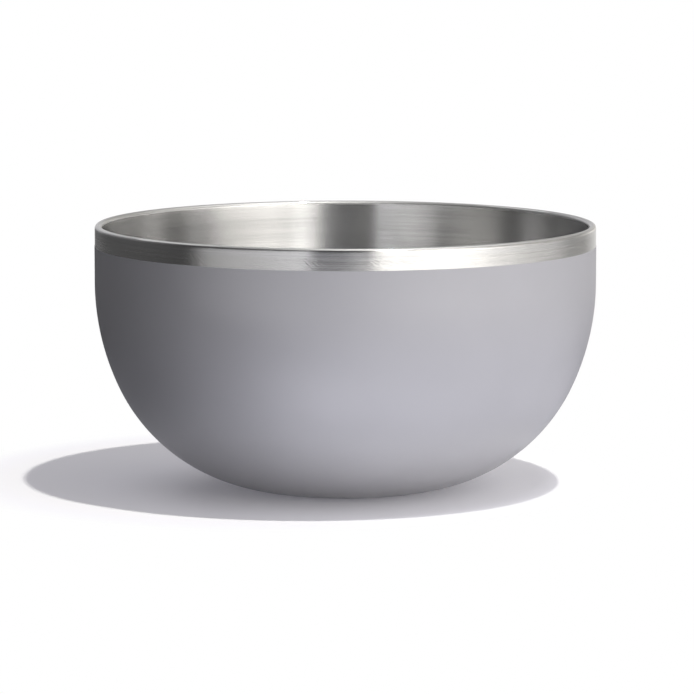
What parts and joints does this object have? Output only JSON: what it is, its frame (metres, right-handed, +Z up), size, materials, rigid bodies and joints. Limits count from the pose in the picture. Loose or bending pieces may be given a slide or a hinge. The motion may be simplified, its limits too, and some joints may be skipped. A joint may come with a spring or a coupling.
{
  "type": "insulated bowl",
  "caption": "Round double-walled vacuum bowl with a rolled steel lip, a bare brushed band and a lilac-grey coat outside; open, without a lid.",
  "frame": {"origin": "centre of the foot ring's lower face, on the surface that the bowl stands on", "axes": "+Z up along the bowl's axis; -Y is the side seen in the picture; the inside getter lies on +X"},
  "size_m": [0.2804, 0.2804, 0.149],
  "materials": {
    "liner_steel": "brushed round the axis",
    "shell_steel": "brushed round the axis, bare at the band and under the coat",
    "weld_steel": "ground flush and brushed",
    "lilac_coat": "semi-matte powder coat",
    "copper_foil": "bright rolled foil",
    "getter_alloy": "pressed and sintered",
    "strap_steel": "mill finish",
    "solder_glass": "opaque dark glass, fire polished",
    "cover_steel": "brushed round the axis",
    "bond_film": "cured film"
  },
  "bodies": {
    "root": {"inner_liner": "liner_steel", "outer_shell": "shell_steel", "rim_weld": "weld_steel", "powder_coat": "lilac_coat", "foil_gores": "copper_foil", "getter_pellet": "getter_alloy", "getter_clip": "strap_steel", "port_seal": "solder_glass", "base_cover": "cover_steel", "cover_bond": "bond_film"}
  },
  "joints": []
}
